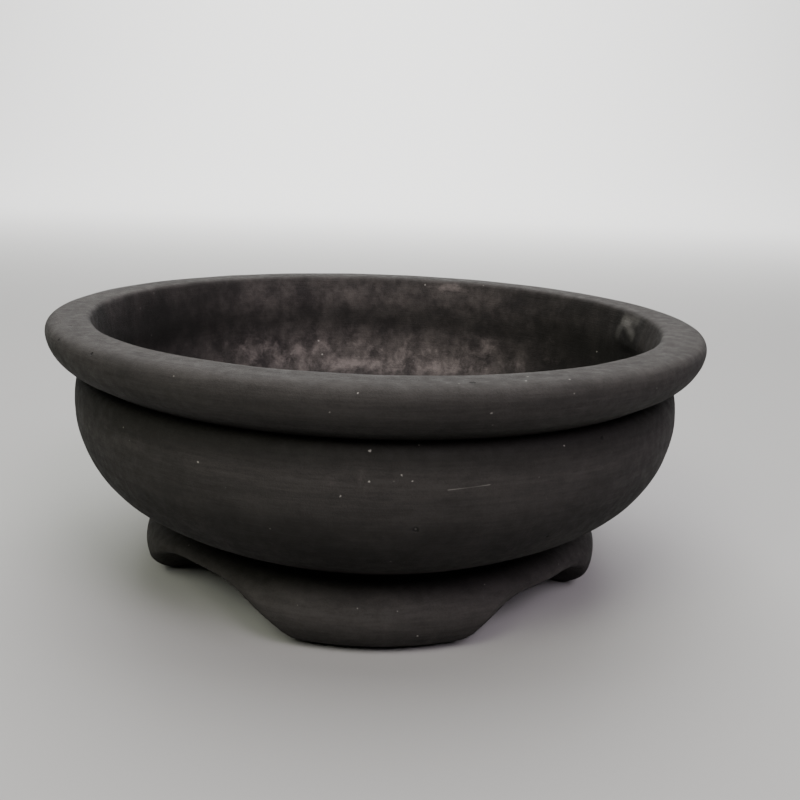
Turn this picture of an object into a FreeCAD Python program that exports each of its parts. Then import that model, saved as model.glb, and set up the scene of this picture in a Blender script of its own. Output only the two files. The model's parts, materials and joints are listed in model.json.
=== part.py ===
import FreeCAD, Part
import math
import os

# Round bonsai pot of unglazed clay. A bulging bowl with a rolled rim stands on a foot ring,
# and four arches cut through the ring leave four feet. Each clay member is its own solid.
# Millimetres. +Z is up, the origin is on the ground below the pot's centre, and the front
# foot faces -Y. Azimuths are in degrees from -Y, growing towards +X.

# Rim: a roll of clay, flattened on top
RIM_RADIUS = 90.0
RIM_WIDEST_HEIGHT = 70.2
RIM_UNDERSIDE_RADIUS = 86.2
RIM_UNDERSIDE_HEIGHT = 62.7
POT_HEIGHT = 74.2
MOUTH_RADIUS = 78.4
MOUTH_ROUNDING = 1.0

# Groove cut where the rim sits on the wall, and the belly's shoulder just below it
GROOVE_RADIUS = 81.0
GROOVE_HEIGHT = 60.4
SHOULDER_RADIUS = 82.6
SHOULDER_HEIGHT = 59.2
WALL_TOP_INNER_RADIUS = 76.6

# Belly of the bowl
BELLY_RADIUS = 84.1
BELLY_HEIGHT = 50.0
BOWL_INNER_RADIUS = 75.8

# Crease above the foot, and the floor slab inside it
CREASE_RADIUS = 57.2
CREASE_HEIGHT = 18.5
FLOOR_RADIUS = 50.0
FLOOR_THICKNESS = 8.0
DRAIN_HOLE_RADIUS = 11.0
WIRE_HOLE_RADIUS = 2.2
WIRE_HOLE_CIRCLE_RADIUS = 30.0
WIRE_HOLE_COUNT = 4

# Foot ring
FOOT_BULGE_RADIUS = 67.1
FOOT_BULGE_HEIGHT = 9.2
SOLE_OUTER_RADIUS = 59.0
SOLE_INNER_RADIUS = 50.0
FOOT_TOP_HEIGHT = 11.0

# Arches between the feet: azimuth of the middle, half width in degrees at the ground,
# height, and fullness. An arch of higher fullness has a flatter top and steeper flanks.
FRONT_RIGHT_ARCH = (45.5, 24.0, 12.5, 4.2)
BACK_RIGHT_ARCH = (131.5, 27.5, 13.2, 3)
BACK_LEFT_ARCH = (-133.5, 27.0, 13.2, 3)
FRONT_LEFT_ARCH = (-43.6, 28.0, 14.1, 3.1)
ARCHES = (FRONT_RIGHT_ARCH, BACK_RIGHT_ARCH, BACK_LEFT_ARCH, FRONT_LEFT_ARCH)
ARCH_INNER_REACH = 42.0
ARCH_OUTER_REACH = 76.0
ARCH_OVERRUN = 1.05
ARCH_STEPS = 12

# The way each foot faces, by the node it is written to
FOOT_DIRECTIONS = {
    "front_foot": FreeCAD.Vector(0, -1, 0),
    "right_foot": FreeCAD.Vector(1, 0, 0),
    "back_foot": FreeCAD.Vector(0, 1, 0),
    "left_foot": FreeCAD.Vector(-1, 0, 0),
}

FLOOR_TOP = CREASE_HEIGHT + FLOOR_THICKNESS
UP = FreeCAD.Vector(0, 0, 1)
ORIGIN = FreeCAD.Vector(0, 0, 0)


def section_point(radius, height):
    """A point of a section through the pot's axis."""
    return FreeCAD.Vector(radius, 0, height)


def line(start, end):
    return Part.LineSegment(section_point(*start), section_point(*end)).toShape()


def arc(start, middle, end):
    return Part.Arc(section_point(*start), section_point(*middle), section_point(*end)).toShape()


def smooth(points, directions=None):
    """A smooth curve through a few (radius, height) points, with given directions at its ends."""
    curve = Part.BSplineCurve()
    places = [section_point(*point) for point in points]
    if directions:
        start, end = (section_point(*direction) for direction in directions)
        curve.interpolate(Points=places, InitialTangent=start, FinalTangent=end)
    else:
        curve.interpolate(places)
    return curve.toShape()


def turned(edges):
    """The solid that a closed section sweeps in one full turn about the pot's axis."""
    face = Part.Face(Part.Wire(edges))
    return face.revolve(ORIGIN, UP, 360)


def floor_slab():
    """The flat floor, with one drainage hole and a circle of wire holes."""
    base = FreeCAD.Vector(0, 0, CREASE_HEIGHT)
    slab = Part.makeCylinder(FLOOR_RADIUS, FLOOR_THICKNESS, base)
    slab = slab.cut(Part.makeCylinder(DRAIN_HOLE_RADIUS, FLOOR_THICKNESS, base))
    for index in range(WIRE_HOLE_COUNT):
        angle = math.radians(360 / WIRE_HOLE_COUNT * (index + 0.5))
        centre = FreeCAD.Vector(
            WIRE_HOLE_CIRCLE_RADIUS * math.cos(angle),
            WIRE_HOLE_CIRCLE_RADIUS * math.sin(angle),
            CREASE_HEIGHT,
        )
        slab = slab.cut(Part.makeCylinder(WIRE_HOLE_RADIUS, FLOOR_THICKNESS, centre))
    return slab


def belly_wall():
    """The bowl's wall, from the crease above the foot to the groove below the rim."""
    crease = (CREASE_RADIUS, CREASE_HEIGHT)
    shoulder = (SHOULDER_RADIUS, SHOULDER_HEIGHT)
    groove = (GROOVE_RADIUS, GROOVE_HEIGHT)
    inner_top = (WALL_TOP_INNER_RADIUS, GROOVE_HEIGHT)
    cove_end = (FLOOR_RADIUS, FLOOR_TOP)
    outside = smooth([
        crease,
        (61.9, 21.0),
        (76.5, 31.0),
        (82.9, 42.5),
        (BELLY_RADIUS, BELLY_HEIGHT),
        shoulder,
    ])
    inside = smooth([
        inner_top,
        (BOWL_INNER_RADIUS, BELLY_HEIGHT),
        (71.0, 36.8),
        (59.5, 28.3),
        cove_end,
    ])
    return turned([
        outside,
        line(shoulder, groove),
        line(groove, inner_top),
        inside,
        line(cove_end, (FLOOR_RADIUS, CREASE_HEIGHT)),
        line((FLOOR_RADIUS, CREASE_HEIGHT), crease),
    ])


def rim_roll():
    """The rolled rim: round outside, flat on top, with a softened inner edge."""
    groove = (GROOVE_RADIUS, GROOVE_HEIGHT)
    underside = (RIM_UNDERSIDE_RADIUS, RIM_UNDERSIDE_HEIGHT)
    top_start = (86.6, POT_HEIGHT)
    outline = [
        underside,
        (88.9, 65.6),
        (RIM_RADIUS, RIM_WIDEST_HEIGHT),
        (89.7, 72.5),
        (88.8, 73.7),
        top_start,
    ]
    outside = smooth(outline, directions=[(1, 0.8), (-1, 0)])
    corner = MOUTH_ROUNDING * (1 - math.sqrt(0.5))
    mouth_top = (MOUTH_RADIUS + MOUTH_ROUNDING, POT_HEIGHT)
    mouth_corner = (MOUTH_RADIUS + corner, POT_HEIGHT - corner)
    mouth_side = (MOUTH_RADIUS, POT_HEIGHT - MOUTH_ROUNDING)
    inner_bottom = (WALL_TOP_INNER_RADIUS, GROOVE_HEIGHT)
    return turned([
        line(groove, underside),
        outside,
        line(top_start, mouth_top),
        arc(mouth_top, mouth_corner, mouth_side),
        arc(mouth_side, (77.2, 66.6), inner_bottom),
        line(inner_bottom, groove),
    ])


def whole_foot_ring():
    """The foot as a plain ring, before the arches are cut."""
    crease = (CREASE_RADIUS, CREASE_HEIGHT)
    sole_edge = (SOLE_OUTER_RADIUS, 0)
    inner_sole = (SOLE_INNER_RADIUS, 0)
    inner_top = (FLOOR_RADIUS, CREASE_HEIGHT)
    outside = smooth([
        sole_edge,
        (64.4, 3.5),
        (FOOT_BULGE_RADIUS, FOOT_BULGE_HEIGHT),
        (64.3, 14.7),
        crease,
    ])
    return turned([
        outside,
        line(crease, inner_top),
        line(inner_top, inner_sole),
        line(inner_sole, sole_edge),
    ])


def arch_edge(arch, radius):
    """The arch's outline at one distance from the pot's axis."""
    middle, half_width, height, fullness = arch
    points = []
    for step in range(ARCH_STEPS + 1):
        across = ARCH_OVERRUN * (2 * step / ARCH_STEPS - 1)
        azimuth = math.radians(middle + half_width * across)
        rise = height * (1 - abs(across) ** fullness)
        points.append(FreeCAD.Vector(radius * math.sin(azimuth), -radius * math.cos(azimuth), rise))
    curve = Part.BSplineCurve()
    curve.interpolate(points)
    return curve.toShape()


def arch_space(arch):
    """Everything below an arch, cut straight towards the pot's axis."""
    vault = Part.makeRuledSurface(arch_edge(arch, ARCH_OUTER_REACH), arch_edge(arch, ARCH_INNER_REACH))
    return vault.extrude(-2 * CREASE_HEIGHT * UP)


def foot_members():
    """The foot ring cut into its upper band and its four feet, by node."""
    ring = whole_foot_ring()
    for arch in ARCHES:
        ring = ring.cut(arch_space(arch))
    reach = FreeCAD.Vector(ARCH_OUTER_REACH, ARCH_OUTER_REACH, 0)
    lower = Part.makeBox(2 * ARCH_OUTER_REACH, 2 * ARCH_OUTER_REACH, FOOT_TOP_HEIGHT, -1 * reach)
    feet = ring.common(lower).Solids
    members = {"foot_ring": ring.cut(lower)}
    for node, direction in FOOT_DIRECTIONS.items():
        members[node] = max(feet, key=lambda foot: foot.CenterOfMass.dot(direction))
    return members


def write_parts():
    members = foot_members()
    members["floor_slab"] = floor_slab()
    members["belly_wall"] = belly_wall()
    members["rim_roll"] = rim_roll()
    os.makedirs("parts", exist_ok=True)
    for node, shape in members.items():
        shape.exportStep("parts/" + node + ".step")
        print(node, round(shape.Volume), shape.isValid(), len(shape.Solids))


write_parts()
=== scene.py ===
import bpy
import json
import math
import numpy as np
from mathutils import Matrix, Vector, noise
from mathutils.bvhtree import BVHTree


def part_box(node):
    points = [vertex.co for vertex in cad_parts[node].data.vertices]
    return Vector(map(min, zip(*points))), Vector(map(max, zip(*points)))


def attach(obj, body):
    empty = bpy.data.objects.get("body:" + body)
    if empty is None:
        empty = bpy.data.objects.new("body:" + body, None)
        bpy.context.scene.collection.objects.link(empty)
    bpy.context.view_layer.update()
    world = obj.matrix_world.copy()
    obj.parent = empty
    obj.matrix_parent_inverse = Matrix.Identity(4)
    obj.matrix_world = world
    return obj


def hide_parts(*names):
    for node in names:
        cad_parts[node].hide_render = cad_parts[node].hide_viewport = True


# A hand-made bonsai pot of bare charcoal clay. Each clay member of the frame is replaced by a
# mesh turned from the same section, with the marks of the hand on it: throwing rings, dents,
# softened edges, grit, dust and a smear of slip. Lengths are in millimetres until a mesh is
# made. An azimuth is measured from -Y and grows towards +X: in radians, but in degrees where
# it places a mark.

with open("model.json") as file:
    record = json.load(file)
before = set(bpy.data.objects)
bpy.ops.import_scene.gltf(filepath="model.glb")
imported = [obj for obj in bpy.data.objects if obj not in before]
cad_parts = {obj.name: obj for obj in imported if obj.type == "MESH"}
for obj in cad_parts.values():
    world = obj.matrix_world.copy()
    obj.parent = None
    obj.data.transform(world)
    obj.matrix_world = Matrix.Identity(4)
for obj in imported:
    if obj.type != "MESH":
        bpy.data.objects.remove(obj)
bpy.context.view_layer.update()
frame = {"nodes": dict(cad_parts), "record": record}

MM = 0.001

# Columns of points round the pot, and how far apart the points along its sections are
COLUMNS = 720
SPACING = 0.8
RIM_SPACING = 0.55
BOWL_SPACING = 1.2
WALL_SPACING = 1.1
FLOOR_SPACING = 1.0
FOOT_SPACING = 0.2


# ---------------------------------------------------------------- sizes read from the frame

def lowest(node):
    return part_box(node)[0] / MM


def highest(node):
    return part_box(node)[1] / MM


def mount(name):
    return next(m for m in frame["record"]["mounts"] if m["name"] == name)


RIM_RADIUS = highest("rim_roll").x
POT_HEIGHT = highest("rim_roll").z
GROOVE_HEIGHT = lowest("rim_roll").z
BELLY_RADIUS = highest("belly_wall").x
CREASE_HEIGHT = highest("foot_ring").z
BULGE_RADIUS = highest("foot_ring").x
FOOT_TOP = highest("front_foot").z
FLOOR_RADIUS = highest("floor_slab").x
FLOOR_TOP = highest("floor_slab").z
DRAIN_RADIUS = mount("drain_hole")["dims"]["r_mm"]
WIRE_RADIUS = mount("wire_holes")["dims"]["hole_r_mm"]
WIRE_CIRCLE = mount("wire_holes")["dims"]["pcd_mm"] / 2
WIRE_COUNT = mount("wire_holes")["dims"]["count"]


# ---------------------------------------------------------------- sections, as (radius, height)

def smooth_through(points, spacing=SPACING):
    """Points about one spacing apart on a natural cubic curve through the given ones."""
    p = np.array(points, float)
    t = np.append(0, np.cumsum(np.linalg.norm(np.diff(p, axis=0), axis=1)))
    h = np.diff(t)
    bend = np.eye(len(p))
    slope = np.zeros_like(p)
    for i in range(1, len(p) - 1):
        bend[i, i - 1:i + 2] = h[i - 1], 2 * (h[i - 1] + h[i]), h[i]
        slope[i] = 6 * ((p[i + 1] - p[i]) / h[i] - (p[i] - p[i - 1]) / h[i - 1])
    m = np.linalg.solve(bend, slope)
    u = np.linspace(0, t[-1], max(2, round(t[-1] / spacing) + 1))
    k = np.clip(np.searchsorted(t, u, side="right") - 1, 0, len(h) - 1)
    a = ((t[k + 1] - u) / h[k])[:, None]
    b = 1 - a
    pull = (a**3 - a) * m[k] + (b**3 - b) * m[k + 1]
    return a * p[k] + b * p[k + 1] + pull * (h[k] ** 2)[:, None] / 6


def line(start, end, count):
    """Evenly spaced points from start to end, or from each start to its end."""
    t = np.linspace(0, 1, count)[:, None]
    return np.asarray(start)[..., None, :] * (1 - t) + np.asarray(end)[..., None, :] * t


def straight(start, end, spacing):
    return line(start, end, max(2, round(math.dist(start, end) / spacing) + 1))


def rounded(start, corner, end, steps=5):
    """A curve that turns from start to end, bending towards the corner between them."""
    t = np.linspace(0, 1, steps + 1)[:, None]
    towards = line(start, corner, steps + 1)
    away = line(corner, end, steps + 1)
    return towards * (1 - t) + away * t


def joined(*stretches):
    """One path from several, without the doubled points where they meet."""
    return np.concatenate([stretches[0]] + [s[..., 1:, :] for s in stretches[1:]], axis=-2)


CREASE = (57.2, CREASE_HEIGHT)
GROOVE = (80.4, GROOVE_HEIGHT)
WALL_TOP_INSIDE = (76.6, GROOVE_HEIGHT)
COVE_END = (FLOOR_RADIUS, FLOOR_TOP)
MOUTH_RADIUS = 78.4
MOUTH = (MOUTH_RADIUS - 0.1, POT_HEIGHT - 1.8)

# The rounding of the drainage hole's edges
HOLE_EDGE = 1.0


def belly_outside():
    return smooth_through([
        CREASE,
        (61.9, 21.0),
        (76.5, 31.0),
        (82.9, 42.5),
        (BELLY_RADIUS, 50.0),
        (83.5, 56.6),
        (82.6, GROOVE_HEIGHT - 1.4),
        GROOVE,
    ])


def rim_outside():
    """From the groove out under the roll, over its rather square shoulder, to the mouth."""
    return smooth_through([
        GROOVE,
        (83.3, 62.1),
        (86.2, 63.9),
        (88.3, 66.1),
        (89.5, 68.5),
        (RIM_RADIUS - 0.1, 70.6),
        (89.7, POT_HEIGHT - 2.0),
        (88.9, POT_HEIGHT - 0.8),
        (87.2, POT_HEIGHT - 0.2),
        (83.5, POT_HEIGHT - 0.12),
        (80.0, POT_HEIGHT - 0.2),
        (78.8, POT_HEIGHT - 0.6),
        MOUTH,
    ], RIM_SPACING)


def bowl_inside():
    return smooth_through([
        MOUTH,
        (77.3, 67.0),
        WALL_TOP_INSIDE,
        (75.8, 50.0),
        (71.0, 36.8),
        (59.5, 28.3),
        COVE_END,
    ], BOWL_SPACING)


def foot_outside():
    return smooth_through([
        (59.0, 0),
        (64.4, 3.5),
        (BULGE_RADIUS, 9.2),
        (64.3, 14.7),
        CREASE,
    ], FOOT_SPACING)


def respaced(path, spacing):
    """The same path with its points evenly spaced, about that far apart."""
    t = np.append(0, np.cumsum(np.linalg.norm(np.diff(path, axis=0), axis=1)))
    even = np.linspace(0, t[-1], max(2, round(t[-1] / spacing) + 1))
    return np.stack([np.interp(even, t, path[:, 0]), np.interp(even, t, path[:, 1])], axis=1)


def split_at_height(path, height):
    """Two paths, above and below a height, from one that goes steadily down."""
    radius = np.interp(-height, -path[:, 1], path[:, 0])
    above = path[path[:, 1] > height]
    below = path[path[:, 1] < height]
    point = [[radius, height]]
    return np.concatenate([above, point]), np.concatenate([point, below])


def floor_and_drain():
    """From the cove over the floor, down through the drainage hole and back under the floor."""
    top, bottom, hole = FLOOR_TOP, CREASE_HEIGHT, DRAIN_RADIUS
    top_edge = (hole + HOLE_EDGE, top)
    bottom_edge = (hole + HOLE_EDGE, bottom)
    hole_start = (hole, top - HOLE_EDGE)
    hole_end = (hole, bottom + HOLE_EDGE)
    return joined(
        straight(COVE_END, top_edge, FLOOR_SPACING),
        rounded(top_edge, (hole, top), hole_start),
        straight(hole_start, hole_end, FLOOR_SPACING),
        rounded(hole_end, (hole, bottom), bottom_edge),
        straight(bottom_edge, (FLOOR_RADIUS, bottom), FLOOR_SPACING),
    )


# ---------------------------------------------------------------- the foot's underside, from the frame

FOOT_NODES = ("foot_ring", "front_foot", "right_foot", "back_foot", "left_foot")

# A circle that runs under the middle of the soles
SOLE_MIDDLE_RADIUS = (FLOOR_RADIUS + BULGE_RADIUS) / 2 - 2


def underside_heights(azimuths):
    """How high the foot's underside is above the ground at each azimuth: 0 on the soles."""
    vertices, faces = [], []
    for node in FOOT_NODES:
        mesh = frame["nodes"][node].data
        start = len(vertices)
        vertices += [v.co / MM for v in mesh.vertices]
        faces += [[start + i for i in p.vertices] for p in mesh.polygons]
    tree = BVHTree.FromPolygons(vertices, faces)
    heights = []
    for azimuth in azimuths:
        outwards = Vector((math.sin(azimuth), -math.cos(azimuth), 0))
        below_ground = SOLE_MIDDLE_RADIUS * outwards - Vector((0, 0, 1))
        heights.append(tree.ray_cast(below_ground, Vector((0, 0, 1)))[0].z)
    return np.array(heights)


def softened(heights, passes=8):
    """Rounds the corners where the arches' flanks meet the soles."""
    for _ in range(passes):
        heights = (np.roll(heights, 1) + 2 * heights + np.roll(heights, -1)) / 4
    return heights


# ---------------------------------------------------------------- hand-made unevenness

# How far apart in the noise two seeds are
SEED_STEP = 17.3

# The bowl's outline wavers in and out: how far, how many times in a turn, and at what angle
WAVERS = ((0.10, 2, 2.9), (0.08, 5, 8.7))

# It is also set in a little all round, its rim dips towards +X, and its belly stands out there
WAVER_INSET = 0.12
RIM_DIP = 0.25
BELLY_SHIFT = 0.25


def noise_field(points, size, seed):
    """Smooth noise from -1 to 1 at each point, with features of about that size."""
    flat = (points / size).reshape(-1, 3) + seed * SEED_STEP
    values = np.fromiter((noise.noise(Vector(p)) for p in flat), float, len(flat))
    return values.reshape(points.shape[:-1])


def around(points, turns, height_size, seed):
    """Noise drawn out along the turning direction, as a potter's fingers leave it.

    It changes with the radius too, so that the rings also show where the clay is nearly level.
    """
    radius = np.hypot(points[..., 0], points[..., 1]) + 1e-6
    along = np.stack([
        points[..., 0] / radius * turns,
        points[..., 1] / radius * turns,
        (points[..., 2] + 0.6 * radius) / height_size,
    ], axis=-1)
    return noise_field(along, 1.0, seed)


def smoothstep(edge0, edge1, x):
    t = np.clip((x - edge0) / (edge1 - edge0), 0, 1)
    return t * t * (3 - 2 * t)


def hand_lean(points):
    """The points of a regular bowl, moved to where the hand left them: not quite round or level."""
    x, y, z = points[..., 0], points[..., 1], points[..., 2]
    radius = np.hypot(x, y) + 1e-6
    azimuth = np.arctan2(x, -y)
    upper = smoothstep(22, POT_HEIGHT, z)
    belly = smoothstep(24, 40, z) * smoothstep(66, 56, z)
    waver = sum(far * np.cos(times * azimuth - angle) for far, times, angle in WAVERS)
    scale = 1 + upper * (waver - WAVER_INSET) / radius
    dip = RIM_DIP * (1 + x / RIM_RADIUS) * upper
    return np.stack([x * scale + BELLY_SHIFT * belly, y * scale, z - dip], axis=-1)


def fade(count, length, spacing):
    """1 along a path, falling to 0 at both of its ends."""
    place = np.arange(count) * spacing
    return smoothstep(0, length, place) * smoothstep(0, length, place[::-1])


# ---------------------------------------------------------------- grids of points (column, row)

def outward(paths):
    """The way out of the clay at each point of some paths, to the right of the way they run."""
    along = np.gradient(paths, axis=-2)
    out = np.stack([along[..., 1], -along[..., 0]], axis=-1)
    return out / np.linalg.norm(out, axis=-1, keepdims=True)


def turned(paths, azimuths):
    """Points in space for paths of (radius, height), one path for each azimuth."""
    sine = np.sin(azimuths)[:, None]
    cosine = np.cos(azimuths)[:, None]
    return np.stack([paths[..., 0] * sine, -paths[..., 0] * cosine, paths[..., 1] + 0 * sine], axis=-1)


def shading_normals(points):
    around_pot = np.roll(points, -1, axis=0) - np.roll(points, 1, axis=0)
    out = np.cross(around_pot, np.gradient(points, axis=1))
    return out / np.linalg.norm(out, axis=-1, keepdims=True)


class Skin:
    """A stretch of the pot's surface: points, their normals, and how far inside the bowl each is."""

    def __init__(self, points, normals, inward):
        self.points = points
        self.normals = normals
        self.inward = np.broadcast_to(inward, points.shape[:2])

    def rows(self, start, stop):
        part = slice(start, stop)
        return Skin(self.points[:, part], self.normals[:, part], self.inward[:, part])

    def row(self, number):
        return self.rows(number, number + 1 or None)

    def every(self, step):
        return Skin(self.points[::step], self.normals[::step], self.inward[::step])


def worked_skin(paths, azimuths, depth, inward):
    """The skin of some turned paths, raised out of the clay by a depth that varies over it."""
    base = turned(paths, azimuths)
    raised = paths + outward(paths) * depth(base)[..., None]
    points = hand_lean(turned(raised, azimuths))
    return Skin(points, shading_normals(points), inward)


def seam(start, end, count):
    """A flat joint face from one skin's row to another's."""
    points = line(start.points[:, 0], end.points[:, 0], count)
    share = np.linspace(0, 1, count)
    return Skin(points, None, start.inward * (1 - share) + end.inward * share)


# ---------------------------------------------------------------- places on the pot, for its marks

def outer_radius(height):
    outline = joined(foot_outside(), belly_outside(), rim_outside())
    rising = outline[:np.argmax(outline[:, 1])]
    return np.interp(height, rising[:, 1], rising[:, 0])


def inner_radius(height):
    falling = bowl_inside()[::-1]
    return np.interp(height, falling[:, 1], falling[:, 0])


def spot(azimuth, radius, height):
    """A place on the pot's clay, from an azimuth in degrees."""
    azimuth = math.radians(azimuth)
    return hand_lean(np.array([radius * math.sin(azimuth), -radius * math.cos(azimuth), height]))


def outside(azimuth, height):
    return spot(azimuth, outer_radius(height), height)


def inside(azimuth, height):
    return spot(azimuth, inner_radius(height), height)


def on_rim(azimuth, radius):
    return spot(azimuth, radius, POT_HEIGHT - 0.1)


def nearness(points, centre, width, height=None):
    """1 at a place, falling smoothly to nothing a few widths away, and faster up and down."""
    away = points - centre
    height = height or width
    level = np.hypot(away[..., 0], away[..., 1]) / width
    return np.exp(-(level**2 + (away[..., 2] / height) ** 2))


# ---------------------------------------------------------------- meshes

def quads(values):
    """The values at the four corners of each quad of a grid that closes round the pot."""
    following = np.roll(values, -1, axis=0)
    return np.stack([values[:, :-1], following[:, :-1], following[:, 1:], values[:, 1:]], axis=2)


def corner_normals(skin):
    if skin.normals is not None:
        return quads(skin.normals)
    corners = quads(skin.points)
    out = np.cross(corners[:, :, 2] - corners[:, :, 0], corners[:, :, 3] - corners[:, :, 1])
    out /= np.linalg.norm(out, axis=-1, keepdims=True) + 1e-12
    return np.repeat(out[:, :, None], 4, axis=2)


def add_values(mesh, name, values):
    attribute = mesh.attributes.new(name, "FLOAT", "POINT")
    attribute.data.foreach_set("value", values.astype(np.float32))


def add_piece(name, points, faces, normals, inward):
    mesh = bpy.data.meshes.new(name)
    mesh.from_pydata((points * MM).tolist(), [], faces.tolist())
    mesh.shade_smooth()
    mesh.normals_split_custom_set(normals.tolist())
    add_values(mesh, "inside", inward)
    add_values(mesh, "dust", dustiness(points, inward))
    # Painted shade in the groove under the rim and in the crease above the foot
    add_values(mesh, "recess_shade", recess_shade(points))
    # Painted shade under the belly and on the inner wall's sides
    add_values(mesh, "side_and_under_shade", side_and_under_shade(points, inward))
    piece = bpy.data.objects.new(name, mesh)
    bpy.context.scene.collection.objects.link(piece)
    return piece


def dustiness(points, inward):
    """Where pale dust lies: low inside the bowl, in patches above, and faintly on the front."""
    azimuth = np.arctan2(points[:, 0], -points[:, 1])
    deep = smoothstep(66, 42, points[:, 2]) * smoothstep(34, 42, points[:, 2])
    dust = 0.5 * deep * (0.25 + 0.75 * np.cos(azimuth) ** 2)
    for place, width, height, amount in DUST_PATCHES:
        dust = dust + amount * nearness(points, place, width, height)
    place, width, height, amount = FRONT_DUST
    return dust * inward + amount * nearness(points, place, width, height) * (1 - inward)


# Where the painted shade is darkest: just below the groove, and on the belly above the crease
GROOVE_SHADE = (GROOVE[0], GROOVE[1] - 1.5)
CREASE_SHADE = (CREASE[0] + 3.5, CREASE[1] + 2.2)


def recess_shade(points):
    """How much shade is painted on a place in the groove under the rim, or in the crease above the
    foot.
    """
    radius = np.hypot(points[:, 0], points[:, 1])
    from_groove = np.hypot(radius - GROOVE_SHADE[0], 0.9 * (points[:, 2] - GROOVE_SHADE[1]))
    from_crease = np.hypot(radius - CREASE_SHADE[0], points[:, 2] - CREASE_SHADE[1])
    return smoothstep(7.5, 2.0, from_groove) + smoothstep(7.0, 1.5, from_crease)


def side_and_under_shade(points, inward):
    """How much shade is painted on the clay: under the belly, and on the inner wall's two sides."""
    height = points[:, 2]
    sideways = np.abs(points[:, 0]) / (np.hypot(points[:, 0], points[:, 1]) + 1e-6)
    sides = smoothstep(0.45, 0.95, sideways) * smoothstep(30, 45, height)
    above_crease = smoothstep(CREASE_HEIGHT - 1, CREASE_HEIGHT + 1, height)
    under_belly = smoothstep(50, 35, height) * above_crease
    return inward * sides + 0.75 * (1 - inward) * under_belly


def ring_piece(name, skins):
    """A closed ring of clay from skins and seams, each of which starts where the last one ends."""
    points = np.concatenate([s.points[:, :-1] for s in skins], axis=1)
    inward = np.concatenate([s.inward[:, :-1] for s in skins], axis=1)
    normals = np.concatenate([corner_normals(s) for s in skins], axis=1)
    columns, rows = points.shape[:2]
    c, r = np.meshgrid(np.arange(columns), np.arange(rows), indexing="ij")
    next_c, next_r = (c + 1) % columns, (r + 1) % rows
    corners = [(c, r), (next_c, r), (next_c, next_r), (c, next_r)]
    faces = np.stack([a * rows + b for a, b in corners], axis=-1).reshape(-1, 4)
    return add_piece(name, points.reshape(-1, 3), faces, normals.reshape(-1, 3), inward.ravel())


# ---------------------------------------------------------------- the bowl

# The worst of the dust inside: where, how wide, how high, and how thick it lies
DUST_PATCHES = (
    (inside(159, 71.5), 6.0, 1.8, 0.95),
    (inside(165, 72.0), 5.0, 1.0, 0.50),
    (inside(-158, 46.5), 3.0, 2.5, 0.35),
    (inside(-164, 47.0), 4.0, 2.5, 0.42),
    (inside(-167, 43.0), 4.0, 2.0, 0.42),
    (inside(-173, 42.3), 6.0, 1.6, 0.42),
    (inside(-146, 49.0), 8.0, 3.5, 0.35),
    (inside(176, 42.5), 8.0, 1.6, 0.24),
    (inside(160, 44.0), 9.0, 3.0, 0.24),
    (inside(137, 61.5), 4.0, 3.0, 0.24),
    (inside(128, 58.0), 4.0, 3.0, 0.17),
    (inside(147, 52.0), 7.0, 3.0, 0.21),
    (on_rim(-174, 81.0), 6.0, 2.0, 0.90),
)

# The faint patch on the front of the belly, given in the same way
FRONT_DUST = (outside(-2, 53), 9, 5, 0.22)

# A thumbed-on smear of slip on the inner wall, towards +X
SMEAR_AZIMUTH = math.radians(97)
SMEAR_HALF_WIDTH = math.radians(7)
SMEAR_HEIGHT = 67.5
SMEAR_HALF_HEIGHT = 4.4
SMEAR_DEPTH = 0.8
SMEAR_RIDGES = (inside(100, 69.5), inside(98, 68.0))


def smear(points):
    """How far the smear stands out of the inner wall: a ragged patch with two small ridges."""
    azimuth = np.arctan2(points[..., 0], -points[..., 1])
    across = np.abs(azimuth - SMEAR_AZIMUTH) / SMEAR_HALF_WIDTH
    up = np.abs(points[..., 2] - SMEAR_HEIGHT) / SMEAR_HALF_HEIGHT
    reach = (across**2.5 + up**2.5) ** (1 / 2.5) + 0.15 * noise_field(points, 5, 21)
    raised = smoothstep(1.3, 0.7, reach)
    ridges = sum(nearness(points, place, 2.4, 1.2) for place in SMEAR_RIDGES)
    return SMEAR_DEPTH * (raised * (0.7 + 0.2 * noise_field(points, 4, 22)) + 0.6 * ridges)


def belly_depth(points):
    """Throwing rings, brush marks and soft lumps on the outside of the belly."""
    rings = 0.09 * around(points, 0.9, 5.5, 1) + 0.035 * around(points, 2.2, 1.7, 2)
    return rings + 0.12 * noise_field(points, 24, 3)


def bowl_depth(points):
    """The rim's soft lumps, and the rougher work inside the bowl and under it."""
    radius = np.hypot(points[..., 0], points[..., 1])
    rim = 0.10 * noise_field(points, 15, 4) + 0.03 * around(points, 2.0, 1.6, 5)
    inner = 0.16 * around(points, 1.1, 6, 6) + 0.20 * noise_field(points, 13, 7)
    inner += 0.06 * noise_field(points, 4, 8) + smear(points)
    within = smoothstep(MOUTH_RADIUS + 2.5, MOUTH_RADIUS - 2, radius)
    hole = smoothstep(DRAIN_RADIUS, DRAIN_RADIUS + 3, radius)
    return rim * (1 - within) + inner * within * hole


# How near a seam the clay is left unworked, so that the members' edges meet
SEAM_FADE = 2.0

# How far down the drainage hole the bowl's inner clay reaches
INNER_CLAY_DEPTH = 2.5


def whole_turn(path, depth, inward):
    """The worked skin of one section turned all the way round."""
    azimuths = np.arange(COLUMNS) * 2 * math.pi / COLUMNS
    paths = np.broadcast_to(path, (COLUMNS, *path.shape))
    weight = fade(len(path), SEAM_FADE, SPACING)
    return worked_skin(paths, azimuths, lambda p: depth(p) * weight, inward)


def how_inward(path, rim_rows):
    """1 where a section that starts under the rim is inside the bowl, and 0 elsewhere."""
    inward = smoothstep(MOUTH_RADIUS + 1.5, MOUTH_RADIUS - 1.0, path[:, 0])
    inward[:rim_rows // 2] = 0
    return inward * (path[:, 1] > FLOOR_TOP - INNER_CLAY_DEPTH)


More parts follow.
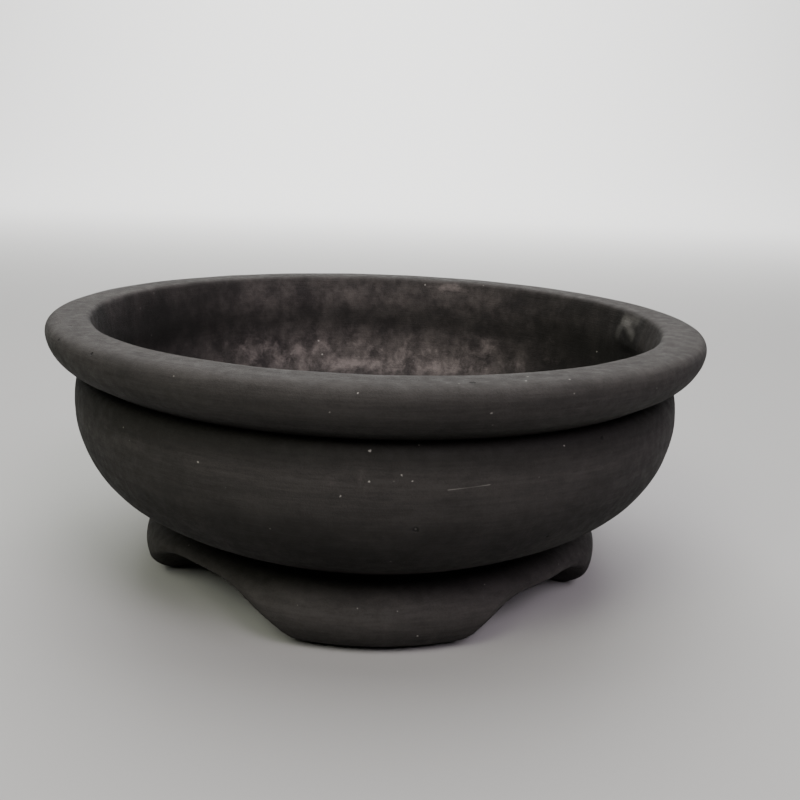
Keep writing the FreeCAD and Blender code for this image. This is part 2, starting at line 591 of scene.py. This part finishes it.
def bowl_pieces():
    """The bowl's three pieces, from one skin outside the belly and one over all the rest."""
    rim = rim_outside()
    rim_inside, wall_inside = split_at_height(bowl_inside(), GROOVE_HEIGHT)
    rim_inside = respaced(rim_inside, SPACING)
    wall_inside = respaced(wall_inside, WALL_SPACING)
    over_path = joined(rim, rim_inside, wall_inside, floor_and_drain())
    rim_end = len(rim) + len(rim_inside) - 2
    wall_end = rim_end + len(wall_inside) - 1

    belly_skin = whole_turn(belly_outside(), belly_depth, 0)
    over = whole_turn(over_path, bowl_depth, how_inward(over_path, len(rim)))
    rim_skin = over.rows(0, rim_end + 1)
    wall_skin = over.rows(rim_end, wall_end + 1)
    floor_skin = over.rows(wall_end, None).every(2)
    return {
        "rim_roll": ring_piece("rim_roll_clay", [
            rim_skin,
            seam(rim_skin.row(-1), rim_skin.row(0), 5),
        ]),
        "belly_wall": ring_piece("belly_wall_clay", [
            belly_skin,
            seam(belly_skin.row(-1), wall_skin.row(0), 5),
            wall_skin,
            seam(wall_skin.row(-1), over.row(-1), 6),
            seam(over.row(-1), belly_skin.row(0), 6),
        ]),
        "floor_slab": ring_piece("floor_slab_clay", [
            floor_skin,
            seam(floor_skin.row(-1), floor_skin.row(0), 6),
        ]),
    }


def cut_wire_holes(floor_slab):
    """Cuts the small holes for wires, with their edges eased above and below."""
    ease = 0.5
    past = 1.0
    flare = past + ease
    bottom, top = CREASE_HEIGHT, FLOOR_TOP
    heights = np.array([bottom - past, bottom + ease, top - ease, top + past])
    radii = WIRE_RADIUS + np.array([flare, 0, 0, flare])
    for number in range(WIRE_COUNT):
        azimuth = (number + 0.5) * 2 * math.pi / WIRE_COUNT
        centre = Vector((math.sin(azimuth), -math.cos(azimuth), 0)) * WIRE_CIRCLE
        cutter = spool(radii, heights, centre)
        hole = floor_slab.modifiers.new("hole", "BOOLEAN")
        hole.object = cutter
        apply_modifiers(floor_slab)
        bpy.data.objects.remove(cutter)
    floor_slab.data.set_sharp_from_angle(angle=math.radians(35))


def spool(radii, heights, centre, sides=40):
    """A closed solid of revolution about an upright axis."""
    turn = np.arange(sides) * 2 * math.pi / sides
    circles = [[(r * math.cos(t) + centre.x, r * math.sin(t) + centre.y, z) for t in turn]
               for r, z in zip(radii, heights)]
    points = np.array(circles).reshape(-1, 3) * MM
    faces = [list(range(sides))[::-1]]
    for ring in range(len(radii) - 1):
        for i in range(sides):
            j = (i + 1) % sides
            base = ring * sides
            faces.append([base + i, base + j, base + j + sides, base + i + sides])
    faces.append([(len(radii) - 1) * sides + i for i in range(sides)])
    mesh = bpy.data.meshes.new("cutter")
    mesh.from_pydata(points.tolist(), [], faces)
    cutter = bpy.data.objects.new("cutter", mesh)
    bpy.context.scene.collection.objects.link(cutter)
    return cutter


def apply_modifiers(piece):
    graph = bpy.context.evaluated_depsgraph_get()
    mesh = bpy.data.meshes.new_from_object(piece.evaluated_get(graph))
    piece.modifiers.clear()
    piece.data = mesh


# ---------------------------------------------------------------- the foot

# The columns start near the middle of an arch
FIRST_AZIMUTH = math.radians(-45)

# How far the edges are rounded: inside the ring, round the soles, and along the arches
INNER_EDGE = 1.0
SOLE_EDGE = 1.3
ARCH_EDGE = 2.4

# Rows of points down the inside of the foot's section, across its underside and up its outside,
# and then over the skin of a foot from its inner top to its outer top
INSIDE_ROWS = 20
ACROSS_ROWS = 14
OUTSIDE_ROWS = 34
UNDER_ROWS = 64

# Rows of points on the inside and outside of the band above the feet
BAND_INSIDE_ROWS = 12
BAND_OUTSIDE_ROWS = 22

# How near its edges the foot's outside is left unworked, and how far apart its rows are
OUTSIDE_FADE = 1.2
OUTSIDE_SPACING = 0.5


def foot_columns():
    """Azimuths and underside heights round the foot, with a column wherever a foot's top ends."""
    step = 2 * math.pi / COLUMNS
    even = FIRST_AZIMUTH + np.arange(COLUMNS) * step
    heights = softened(underside_heights(even))
    spots = np.stack([np.sin(even), -np.cos(even), 0 * even], axis=-1) * BULGE_RADIUS
    heights = heights + 0.2 * noise_field(spots, 9, 11) * smoothstep(0, 3, heights)
    ahead = np.roll(heights, -1)
    crossing = (heights - FOOT_TOP) * (ahead - FOOT_TOP) < 0
    share = (FOOT_TOP - heights[crossing]) / (ahead[crossing] - heights[crossing])
    azimuths = np.append(even, even[crossing] + share * step)
    heights = np.append(heights, np.full(len(share), FOOT_TOP))
    order = np.argsort(azimuths)
    return azimuths[order], heights[order]


def places(radius, height):
    return np.stack(np.broadcast_arrays(radius, height), axis=-1)


def foot_stretches(underside):
    """The foot's section above each underside height: inside, edge, underside, edge, outside."""
    outline = foot_outside()
    edge = SOLE_EDGE + (ARCH_EDGE - SOLE_EDGE) * smoothstep(0, 6, underside)
    edge_radius = np.interp(underside, outline[:, 1], outline[:, 0])
    tops = np.full((len(underside), 1), CREASE_HEIGHT)
    rises = line((underside + edge)[:, None], tops, OUTSIDE_ROWS)[..., 0]
    outer_face = places(np.interp(rises, outline[:, 1], outline[:, 0]), rises)
    inner_top = places(FLOOR_RADIUS, 0 * underside + CREASE_HEIGHT)
    inner_bottom = places(FLOOR_RADIUS, underside + INNER_EDGE)
    under_start = places(FLOOR_RADIUS + INNER_EDGE, underside)
    under_end = places(edge_radius - edge, underside)
    return (
        line(inner_top, inner_bottom, INSIDE_ROWS),
        rounded(inner_bottom, places(FLOOR_RADIUS, underside), under_start),
        line(under_start, under_end, ACROSS_ROWS),
        rounded(under_end, places(edge_radius, underside), outer_face[:, 0], 8),
        outer_face,
    )


# Small dents along the front foot's upper edge
FOOT_DENTS = (
    outside(-9, 13.9),
    outside(4, 14.5),
    outside(13, 13.0),
    outside(-26, 16.5),
    outside(28, 13.5),
)


def foot_depth(points):
    """Soft lumps, turning marks and a few small dents on the foot."""
    dents = sum(nearness(points, dent, 2.2, 0.9) for dent in FOOT_DENTS)
    lumps = 0.13 * noise_field(points, 12, 12) + 0.04 * around(points, 2.0, 2.0, 13)
    return lumps - 0.35 * dents


def along_columns(values, rows):
    """The values of each column at its own list of rows, which may lie between two of them."""
    below = np.clip(np.floor(rows).astype(int), 0, values.shape[1] - 2)
    share = (rows - below)[..., None]
    column = np.arange(len(values))[:, None]
    return values[column, below] * (1 - share) + values[column, below + 1] * share


def skin_between(skin, first, last, count):
    """The skin from row first to row last of each column, in that many rows."""
    rows = line(first[:, None], last[:, None], count)[..., 0]
    normals = along_columns(skin.normals, rows)
    normals /= np.linalg.norm(normals, axis=-1, keepdims=True)
    return Skin(along_columns(skin.points, rows), normals, 0)


def foot_piece(name, under, top):
    """One foot: its skin closed by the flat top, which shares its end columns with the skin."""
    columns, rows = under.points.shape[:2]
    skin_ids = np.arange(columns * rows).reshape(columns, rows)
    top_ids = skin_ids[:, ::-1].copy()
    inner_count = (columns - 2) * (rows - 2)
    top_ids[1:-1, 1:-1] = columns * rows + np.arange(inner_count).reshape(columns - 2, -1)
    points = np.concatenate([under.points.reshape(-1, 3), top.points[1:-1, 1:-1].reshape(-1, 3)])
    faces = np.concatenate([strip_faces(skin_ids), strip_faces(top_ids)])
    top_normals = np.full((columns - 1, rows - 1, 4, 3), (0, 0, 1.0))
    normals = np.concatenate([strip_faces(under.normals), top_normals])
    return add_piece(name, points, faces.reshape(-1, 4), normals.reshape(-1, 3), np.zeros(len(points)))


def strip_faces(values):
    """The values at the four corners of each quad of a grid with two ends."""
    return np.stack([values[:-1, :-1], values[1:, :-1], values[1:, 1:], values[:-1, 1:]], axis=2)


def foot_pieces():
    """The band and the feet, parted from one skin that goes down, under the foot and up outside."""
    azimuths, underside = foot_columns()
    stretches = foot_stretches(underside)
    paths = joined(*stretches)
    inner_end = len(stretches[0][0]) + len(stretches[1][0]) - 2
    outer_start = inner_end + len(stretches[2][0]) - 1
    outside_start = outer_start + len(stretches[3][0]) - 1
    weight = np.zeros(paths.shape[1])
    weight[:INSIDE_ROWS] = fade(INSIDE_ROWS, SEAM_FADE, SPACING)
    weight[outside_start:] = fade(OUTSIDE_ROWS, OUTSIDE_FADE, OUTSIDE_SPACING)
    skin = worked_skin(paths, azimuths, lambda p: foot_depth(p) * weight, 0)
    skin.points[..., 2] = np.maximum(skin.points[..., 2], 0)

    height = skin.points[..., 2]
    inner_rows = np.arange(inner_end + 1)
    outer_rows = np.arange(outer_start, paths.shape[1])
    cut_in = np.array([np.interp(-FOOT_TOP, -h[inner_rows], inner_rows) for h in height])
    cut_out = np.array([np.interp(FOOT_TOP, h[outer_rows], outer_rows) for h in height])
    over_arch = underside >= FOOT_TOP
    cut_in[over_arch] = inner_end
    cut_out[over_arch] = outer_start
    under = skin_between(skin, cut_in, cut_out, UNDER_ROWS)
    return {
        "foot_ring": foot_band(skin, under, cut_in, cut_out, over_arch),
        **feet(under, underside),
    }


def foot_band(skin, under, cut_in, cut_out, over_arch):
    """The band above the feet: open to the arches' vaults, and flat where it meets the feet."""
    last = np.full(len(cut_out), skin.points.shape[1] - 1.0)
    inner = skin_between(skin, 0 * cut_in, cut_in, BAND_INSIDE_ROWS)
    outer = skin_between(skin, cut_out, last, BAND_OUTSIDE_ROWS)
    flat = line(under.points[:, 0], under.points[:, -1], UNDER_ROWS)
    arch = over_arch[:, None, None]
    points = np.where(arch, under.points, flat)
    normals = np.where(arch, under.normals, np.array([0, 0, -1.0]))
    return ring_piece("foot_ring_clay", [
        inner,
        Skin(points, normals, 0),
        outer,
        seam(outer.row(-1), inner.row(0), 6),
    ])


def feet(under, underside):
    """The four feet, in the order in which their columns come."""
    pieces = {}
    level = underside == FOOT_TOP
    starts = np.flatnonzero(level & (np.roll(underside, -1) < FOOT_TOP))
    ends = np.flatnonzero(level & (np.roll(underside, 1) < FOOT_TOP))
    for node, start, end in zip(FOOT_NODES[1:], starts, ends):
        part = slice(start, end + 1)
        skin = Skin(under.points[part], under.normals[part], 0)
        top = seam(skin.row(-1), skin.row(0), UNDER_ROWS)
        pieces[node] = foot_piece(node + "_clay", skin, top)
    return pieces


# ---------------------------------------------------------------- material

class Finish:
    """A material's nodes, each added by one short call that returns its output."""

    def __init__(self, name):
        self.material = bpy.data.materials.new(name)
        self.material.use_nodes = True
        self.tree = self.material.node_tree
        self.tree.nodes.clear()

    def feed(self, socket, value):
        if isinstance(value, bpy.types.NodeSocket):
            self.tree.links.new(value, socket)
        else:
            socket.default_value = value

    def node(self, kind, inputs, output=0, **settings):
        node = self.tree.nodes.new("ShaderNode" + kind)
        for name, value in settings.items():
            setattr(node, name, value)
        for socket, value in inputs.items():
            self.feed(node.inputs[socket], value)
        return node.outputs[output] if node.outputs else None

    def math(self, operation, *values):
        return self.node("Math", dict(enumerate(values)), operation=operation)

    def vector(self, operation, *values, output="Vector"):
        return self.node("VectorMath", dict(enumerate(values)), output, operation=operation)

    def noise(self, place, scale, detail, roughness):
        inputs = {"Vector": place, "Scale": scale, "Detail": detail, "Roughness": roughness}
        return self.node("TexNoise", inputs, "Fac")

    def step(self, value, start, end, result=(0.0, 1.0)):
        """A smooth step between two results, as a value goes from start to end."""
        inputs = {
            "Value": value,
            "From Min": start,
            "From Max": end,
            "To Min": result[0],
            "To Max": result[1],
        }
        return self.node("MapRange", inputs, interpolation_type="SMOOTHSTEP")

    def attribute(self, name):
        return self.node("Attribute", {}, "Fac", attribute_name=name)

    def height(self, place):
        return self.node("SeparateXYZ", {"Vector": place}, "Z")

    def mix(self, share, first, second):
        """A colour between two others. Inputs 6 and 7 of the node are its colours."""
        inputs = {"Factor": share, 6: first, 7: second}
        return self.node("Mix", inputs, 2, data_type="RGBA")


DARK_CLAY = (0.0165, 0.0153, 0.0144, 1)
PALE_CLAY = (0.0305, 0.0282, 0.0264, 1)
DARK_INSIDE = (0.0130, 0.0112, 0.0112, 1)
PALE_INSIDE = (0.0580, 0.0500, 0.0468, 1)
# Painted shade under the belly and on the inner wall's sides
SHADE_CLAY = (0.0075, 0.0070, 0.0064, 1)
# Painted shade for the groove under the rim and the crease above the foot
RECESS_SHADE_CLAY = (0.0060, 0.0058, 0.0050, 1)
DUST = (0.125, 0.106, 0.101, 1)
# Pale grit, and the painted highlight on the smear
GRIT_AND_HIGHLIGHT = (0.42, 0.40, 0.37, 1)
# Painted shade in the pits
PIT_SHADE = (0.003, 0.003, 0.003, 1)

# Grains of pale grit, each with its radius
GRAINS = (
    (outside(-0.5, 58.8), 0.30),
    (outside(4, 54), 0.26),
    (outside(5.5, 52.8), 0.20),
    (outside(-0.5, 52.5), 0.24),
    (outside(-4.5, 49), 0.22),
    (outside(-26.5, 52.5), 0.23),
    (outside(6.5, 41.5), 0.30),
    (outside(10.5, 6.7), 0.26),
    (outside(15, 68.5), 0.24),
    (outside(-43, 55.5), 0.20),
    (outside(-5.5, 68.5), 0.20),
    (outside(29.5, 58), 0.23),
    (outside(-2, 72.5), 0.17),
    (on_rim(20.5, 86.5), 0.22),
    (on_rim(22, 83.5), 0.22),
    (on_rim(27, 87.5), 0.24),
    (inside(-163.5, 50.5), 0.40),
    (inside(-164.5, 45.5), 0.36),
    (inside(167, 72), 0.32),
    (inside(112, 58.5), 0.29),
)

# Small pits where grit has fallen out, painted dark as their shade
PITS = (
    (outside(30, 35), 0.5),
    (outside(-56, 72.8), 0.45),
    (on_rim(-63, 84.5), 0.5),
    (outside(-44, 73), 0.4),
    (outside(-57, 70.5), 0.4),
    (on_rim(13, 86.3), 0.6),
    (outside(37.5, 58), 0.5),
    (outside(6.5, 41.2), 0.7),
)

# Pale marks, from one place to another, each with its half width and strength: a scratch on the belly,
# then three pale streaks on the smear that are a painted highlight
SCRATCHES_AND_SMEAR_HIGHLIGHT = (
    (outside(10.7, 50.7), outside(16.9, 51.4), 0.13, 0.16),
    # Painted highlight: pale streaks on the smear's upper-left edge
    (inside(101.5, 70.2), inside(96.5, 67.5), 1.9, 0.07),
    (inside(104.0, 66.5), inside(103.0, 71.0), 2.2, 0.05),
    (inside(103.0, 71.0), inside(97.0, 72.2), 2.0, 0.05),
)


def clay_material():
    """Bare fired clay: charcoal with fine turning streaks, grit, pits, scratches and dust, with
    painted shade in its recesses, pits, under the belly and on the inner sides, and a painted
    highlight on the smear.
    """
    f = Finish("charcoal_clay")
    place = f.vector("MULTIPLY", f.node("TexCoord", {}, "Object"), (1 / MM, 1 / MM, 1 / MM))
    ragged = f.vector("ADD", place, ragged_shift(f, place))
    blotch = f.noise(place, 0.07, 3.0, 0.6)
    mottle = f.noise(place, 0.35, 4.0, 0.65)
    broad_streak = f.noise(streak_place(f, place, 3.0, 0.35), 1.0, 3.0, 0.6)
    fine_streak = f.noise(streak_place(f, place, 9.0, 1.7), 1.0, 3.0, 0.65)
    grain = f.noise(place, 2.4, 3.0, 0.7)
    pits = marks(f, ragged, PITS)

    colour = outer_clay(f, blotch, mottle, broad_streak, fine_streak, grain)
    colour = f.mix(f.attribute("inside"), colour, inner_clay(f, place, blotch, mottle, grain))
    # Painted shade under the belly and on the inner wall's sides
    colour = painted_shade(f, colour, blotch)
    # Painted shade in the groove under the rim and in the crease above the foot
    colour = f.mix(f.math("MULTIPLY", f.attribute("recess_shade"), 0.8), colour, RECESS_SHADE_CLAY)
    colour = dusted(f, colour, grain, place)
    # Pale scratches, and a painted highlight on the smear
    colour = scratched_and_highlit(f, colour, place)
    colour = gritty(f, colour, place, ragged)
    # Painted shade in the pits
    colour = f.mix(f.math("MULTIPLY", pits, 0.75), colour, PIT_SHADE)

    relief = weighted(f, (grain, 0.12), (fine_streak, 0.09), (mottle, 0.08), (pits, -0.35))
    bump = f.node("Bump", {"Height": relief, "Distance": MM, "Strength": 1.0})
    shader = f.node("BsdfPrincipled", {
        "Base Color": colour,
        "Roughness": f.step(mottle, 0.3, 0.7, (0.88, 0.70)),
        "Specular IOR Level": 0.12,
        "Normal": bump,
    })
    f.node("OutputMaterial", {"Surface": shader})
    return f.material


def weighted(f, *terms):
    """The sum of some values, each times its own weight."""
    total = 0.0
    for value, weight in terms:
        total = f.math("MULTIPLY_ADD", value, weight, total)
    return total


def ragged_shift(f, place):
    """A small shift that makes a round mark's outline uneven."""
    inputs = {"Vector": place, "Scale": 1.6, "Detail": 2.0}
    wander = f.node("TexNoise", inputs, "Color")
    return f.vector("MULTIPLY", f.vector("SUBTRACT", wander, (0.5, 0.5, 0.5)), (0.6, 0.6, 0.6))


def marks(f, place, spots):
    """1 on each of some small round marks, and 0 between them."""
    total = 0.0
    for centre, size in spots:
        distance = f.vector("DISTANCE", place, tuple(centre), output="Value")
        total = f.math("MAXIMUM", total, f.step(distance, 1.25 * size, 0.5 * size))
    return total


def outer_clay(f, blotch, mottle, broad_streak, fine_streak, grain):
    """The charcoal clay outside, streaked by turning."""
    tone = weighted(
        f,
        (blotch, 0.2),
        (mottle, 0.15),
        (broad_streak, 0.35),
        (fine_streak, 0.35),
        (grain, 0.3),
    )
    return f.mix(f.step(tone, 0.50, 0.86), DARK_CLAY, PALE_CLAY)


def inner_clay(f, place, blotch, mottle, grain):
    """The browner, more mottled clay inside the bowl."""
    cloud = f.noise(place, 0.13, 5.0, 0.7)
    tone = weighted(f, (blotch, 0.45), (cloud, 0.75), (mottle, 0.3), (grain, 0.15))
    return f.mix(f.step(tone, 0.62, 1.18), DARK_INSIDE, PALE_INSIDE)


def painted_shade(f, colour, blotch):
    """Painted shade under the belly and on the inner wall's sides, a little uneven."""
    share = f.math("MULTIPLY", f.attribute("side_and_under_shade"), f.step(blotch, 0.65, 0.35, (0.6, 0.95)))
    return f.mix(share, colour, SHADE_CLAY)


def dusted(f, colour, grain, place):
    """Pinkish dust in fine swirls, thickest where the mesh says that it lies."""
    lying = f.attribute("dust")
    inputs = {"Vector": place, "Scale": 0.21, "Detail": 6.0, "Roughness": 0.68, "Distortion": 0.3}
    swirl = f.node("TexNoise", inputs, "Fac")
    cover = weighted(f, (swirl, 1.3), (grain, 0.15), (lying, 0.42))
    share = f.math("MULTIPLY", f.step(cover, 0.78, 1.32), f.step(lying, 0.0, 0.45))
    return f.mix(f.math("MULTIPLY", share, 0.7), colour, DUST)


def scratched_and_highlit(f, colour, place):
    """Thin pale scratches, and the pale streaks of painted highlight on the smear."""
    for start, end, half_width, strength in SCRATCHES_AND_SMEAR_HIGHLIGHT:
        distance = segment_distance(f, place, start, end)
        share = f.math("MULTIPLY", f.step(distance, 1.3 * half_width, 0.3 * half_width), strength)
        colour = f.mix(share, colour, GRIT_AND_HIGHLIGHT)
    return colour


def segment_distance(f, place, start, end):
    """How far a place is from the straight line between two points."""
    run = end - start
    from_start = f.vector("SUBTRACT", place, tuple(start))
    along = f.vector("DOT_PRODUCT", from_start, tuple(run / (run @ run)), output="Value")
    inputs = {"Value": along, "From Min": 0.0, "From Max": 1.0}
    kept = f.node("MapRange", inputs)
    nearest = f.vector("SCALE", tuple(run))
    f.feed(nearest.node.inputs["Scale"], kept)
    return f.vector("DISTANCE", from_start, nearest, output="Value")


def gritty(f, colour, place, ragged):
    """Pale grit: the larger grains, each in its own place, and sparse tiny ones."""
    colour = f.mix(f.math("MULTIPLY", marks(f, ragged, GRAINS), 0.38), colour, GRIT_AND_HIGHLIGHT)
    return f.mix(stray_grit(f, place), colour, GRIT_AND_HIGHLIGHT)


def stray_grit(f, place):
    """Sparse tiny pale grains all over."""
    cells = f.node("TexVoronoi", {"Vector": place, "Scale": 0.42, "Randomness": 1.0}, "Distance")
    chance = f.node("SeparateXYZ", {"Vector": cells.node.outputs["Color"]}, "X")
    small = f.step(cells, 0.10, 0.04)
    return f.math("MULTIPLY", small, f.step(chance, 0.90, 0.95, (0.0, 0.22)))


def streak_place(f, place, turns, rows):
    """Coordinates that make noise run in lines round the pot, with no join."""
    flat = f.vector("MULTIPLY", place, (1, 1, 0))
    radius = f.vector("LENGTH", flat, output="Value")
    round_pot = f.vector("MULTIPLY", f.vector("NORMALIZE", flat), (turns, turns, 0))
    level = f.math("MULTIPLY_ADD", radius, 0.7, f.height(place))
    return f.vector("ADD", round_pot, f.node("CombineXYZ", {"Z": f.math("MULTIPLY", level, rows)}))


# ---------------------------------------------------------------- floor, lights and camera

NEAR_PAPER = (0.235, 0.235, 0.23, 1)
FAR_PAPER = (0.80, 0.80, 0.79, 1)


def paper_material():
    """Matt paper, pale behind the pot and greyer where the pot stands."""
    f = Finish("pale_paper")
    back = f.node("SeparateXYZ", {"Vector": f.node("TexCoord", {}, "Object")}, "Y")
    colour = f.mix(f.step(back, 0.3, 2.0), NEAR_PAPER, FAR_PAPER)
    shader = f.node("BsdfPrincipled", {
        "Base Color": colour,
        "Roughness": 0.95,
        "Specular IOR Level": 0.1,
    })
    f.node("OutputMaterial", {"Surface": shader})
    return f.material


# The backdrop in metres: its front edge, the start of its bend, its wall, top and half width
PAPER_FRONT = -1.5
PAPER_BEND = 1.6
PAPER_BACK = 2.6
PAPER_TOP = 4.0
PAPER_HALF_WIDTH = 4


def backdrop():
    """A pale floor that curves up into a wall behind the pot."""
    bend_end = (PAPER_BACK, PAPER_BACK - PAPER_BEND)
    path = joined(
        line((PAPER_FRONT, 0), (PAPER_BEND, 0), 2),
        rounded((PAPER_BEND, 0), (PAPER_BACK, 0), bend_end, 24),
        line(bend_end, (PAPER_BACK, PAPER_TOP), 2),
    )
    points = [(x, y, z) for y, z in path for x in (-PAPER_HALF_WIDTH, PAPER_HALF_WIDTH)]
    faces = [(2 * i, 2 * i + 1, 2 * i + 3, 2 * i + 2) for i in range(len(path) - 1)]
    mesh = bpy.data.meshes.new("backdrop")
    mesh.from_pydata(points, [], faces)
    mesh.shade_smooth()
    mesh.materials.append(paper_material())
    floor = bpy.data.objects.new("backdrop", mesh)
    bpy.context.scene.collection.objects.link(floor)


def softbox(name, place, aim, size, power, colour=(1, 1, 1)):
    """A rectangular light that faces its aim."""
    data = bpy.data.lights.new(name, "AREA")
    data.shape = "RECTANGLE"
    data.size, data.size_y = size
    data.energy = power
    data.color = colour
    light = bpy.data.objects.new(name, data)
    bpy.context.scene.collection.objects.link(light)
    light.location = place
    light.rotation_euler = (Vector(aim) - Vector(place)).to_track_quat("-Z", "Y").to_euler()


POT_MIDDLE = (0, 0, 0.04)
WALL_MIDDLE = (0, 2.4, 0.3)
OLIVE_LIGHT = (0.98, 1.0, 0.85)
MAUVE_LIGHT = (1.0, 0.89, 1.0)
ROOM_LIGHT = 0.04


def lights():
    """Soft light from above and from both sides of the front, and more on the backdrop."""
    softbox("overhead", (0.0, 0.05, 1.1), POT_MIDDLE, (1.0, 0.8), 21.5)
    softbox("front_left", (-0.55, -0.95, 1.1), POT_MIDDLE, (0.6, 0.6), 20, OLIVE_LIGHT)
    softbox("front_right", (0.55, -0.95, 1.1), POT_MIDDLE, (0.6, 0.6), 22, MAUVE_LIGHT)
    softbox("backdrop_light", (0, 1.2, 1.8), WALL_MIDDLE, (2.0, 0.5), 105)
    world = bpy.data.worlds.new("room")
    world.use_nodes = True
    background = world.node_tree.nodes["Background"]
    background.inputs["Color"].default_value = (1, 1, 1, 1)
    background.inputs["Strength"].default_value = ROOM_LIGHT
    bpy.context.scene.world = world


CAMERA_PLACE = Vector((0, -0.2569, 0.1153))
CAMERA_AIM = Vector((0, 0, 0.036))
CAMERA_ROLL = math.radians(1.708)
CAMERA_LENS = 40.5
CAMERA_SHIFT = (0.0339, 0.0464)
SENSOR_WIDTH = 36


def camera():
    """A close view of the pot's front from a little above."""
    data = bpy.data.cameras.new("camera")
    data.sensor_width = SENSOR_WIDTH
    data.lens = CAMERA_LENS
    data.shift_x, data.shift_y = CAMERA_SHIFT
    obj = bpy.data.objects.new("camera", data)
    bpy.context.scene.collection.objects.link(obj)
    look = (CAMERA_AIM - CAMERA_PLACE).to_track_quat("-Z", "Y").to_matrix().to_4x4()
    roll = Matrix.Rotation(CAMERA_ROLL, 4, "Z")
    obj.matrix_world = Matrix.Translation(CAMERA_PLACE) @ look @ roll
    bpy.context.scene.camera = obj


# ---------------------------------------------------------------- the whole scene

def pot():
    """Every member of the frame, replaced by its clay piece."""
    clay = clay_material()
    pieces = {**bowl_pieces(), **foot_pieces()}
    cut_wire_holes(pieces["floor_slab"])
    for node, piece in pieces.items():
        piece.data.materials.append(clay)
        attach(piece, "root")
        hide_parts(node)


camera()
lights()
backdrop()
pot()
